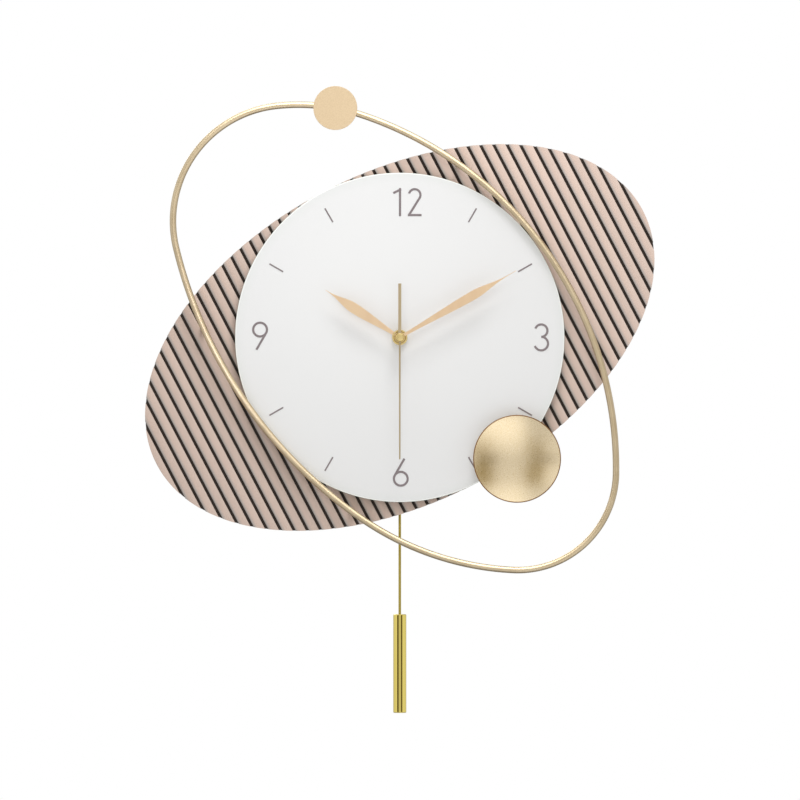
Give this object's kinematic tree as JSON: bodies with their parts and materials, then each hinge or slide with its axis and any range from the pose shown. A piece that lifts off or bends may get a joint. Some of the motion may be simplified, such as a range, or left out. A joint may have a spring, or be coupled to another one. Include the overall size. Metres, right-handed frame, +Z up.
{
  "type": "pendulum wall clock",
  "caption": "Wall clock with a round glass dial on a tilted oval slatted panel, a bent wire loop with a disc, a shallow dish and a rod pendulum.",
  "frame": {"origin": "centre of the round end of the hanger keyhole, on the wall plane", "axes": "+Z up, +Y into the wall, the dial faces -Y, +X to the right of someone who looks at the dial"},
  "size_m": [0.4644, 0.064, 0.5715],
  "materials": {
    "black_board": "matt black painted fibreboard",
    "slat": "satin rose-grey",
    "white_glass": "polished white glass",
    "print": "printed grey",
    "satin_gold": "satin light gold",
    "pale_gold": "matt pale gold",
    "blasted_gold": "bead-blasted gold",
    "polished_brass": "polished brass",
    "hand_gold": "anodised champagne gold",
    "steel": "zinc plated",
    "black_plastic": "moulded black",
    "nylon": "moulded natural",
    "rubber": "matt",
    "spacer": "painted fibreboard",
    "magnet": "sintered",
    "copper": "enamelled copper wire",
    "circuit": "solder mask",
    "cell": null
  },
  "bodies": {
    "clock": {"back_board": "black_board", "slats": "slat", "dial_spacer": "spacer", "dial_glass": "white_glass", "dial_markings": "print", "gold_loop": "satin_gold", "loop_sleeves": "satin_gold", "loop_washers": "steel", "loop_nuts": "steel", "loop_disc": "pale_gold", "bowl": "blasted_gold", "bowl_post": "satin_gold", "bowl_arm": "steel", "bowl_arm_screws": "steel", "bowl_post_screw": "steel", "hanger_plate": "steel", "hanger_blocks": "spacer", "hanger_screws": "steel", "standoff_posts": "black_plastic", "standoff_feet": "rubber", "movement_case": "black_plastic", "movement_cover": "black_plastic", "case_screws": "steel", "bridge_plate": "nylon", "threaded_bush": "polished_brass", "case_gasket": "rubber", "dial_washer": "polished_brass", "dial_nut": "polished_brass", "stator": "steel", "stepper_coil": "copper", "battery": "cell", "battery_contacts": "steel", "circuit_board": "circuit", "pendulum_coil": "copper", "pivot_pin": "steel"},
    "second": {"second_wheel": "nylon", "second_hand": "hand_gold", "hub_cap": "polished_brass"},
    "minute": {"centre_wheel": "nylon", "minute_hand": "hand_gold"},
    "hour": {"hour_wheel": "nylon", "hour_hand": "hand_gold"},
    "third": {"third_wheel": "nylon"},
    "motion": {"motion_wheel": "nylon", "set_knob": "nylon"},
    "train": {"train_wheel": "nylon"},
    "rotor_body": {"rotor": "magnet"},
    "pendulum": {"swing_arm": "nylon", "pendulum_magnet": "magnet", "pendulum_rod": "polished_brass", "bob_tube": "polished_brass", "bob_caps": "polished_brass"}
  },
  "joints": [
    {"name": "second_spin", "type": "hinge", "parent": "clock", "child": "second", "pos_m": [0, -0.04, -0.095], "axis": [0, 1, 0], "continuous": true},
    {"name": "minute_spin", "type": "hinge", "parent": "clock", "child": "minute", "pos_m": [0, -0.04, -0.095], "axis": [0, 1, 0], "continuous": true},
    {"name": "hour_spin", "type": "hinge", "parent": "clock", "child": "hour", "pos_m": [0, -0.04, -0.095], "axis": [0, 1, 0], "continuous": true},
    {"name": "third_spin", "type": "hinge", "parent": "clock", "child": "third", "pos_m": [-0.014, -0.017, -0.095], "axis": [0, 1, 0], "continuous": true},
    {"name": "motion_spin", "type": "hinge", "parent": "clock", "child": "motion", "pos_m": [0.015, -0.017, -0.095], "axis": [0, 1, 0], "continuous": true},
    {"name": "train_spin", "type": "hinge", "parent": "clock", "child": "train", "pos_m": [0, -0.011, -0.106], "axis": [0, 1, 0], "continuous": true},
    {"name": "rotor_spin", "type": "hinge", "parent": "clock", "child": "rotor_body", "pos_m": [0.00985, -0.008, -0.10774], "axis": [0, 1, 0], "continuous": true},
    {"name": "pendulum_swing", "type": "hinge", "parent": "clock", "child": "pendulum", "pos_m": [0, -0.0093, -0.1455], "axis": [0, 1, 0], "range_deg": [-6, 6]}
  ],
  "couplings": [
    {"joint": "third_spin", "follows": "second_spin", "ratio": -0.13333},
    {"joint": "minute_spin", "follows": "second_spin", "ratio": 0.016667},
    {"joint": "motion_spin", "follows": "second_spin", "ratio": -0.0055556},
    {"joint": "hour_spin", "follows": "second_spin", "ratio": 0.0013889},
    {"joint": "train_spin", "follows": "second_spin", "ratio": -5},
    {"joint": "rotor_spin", "follows": "second_spin", "ratio": 30}
  ]
}
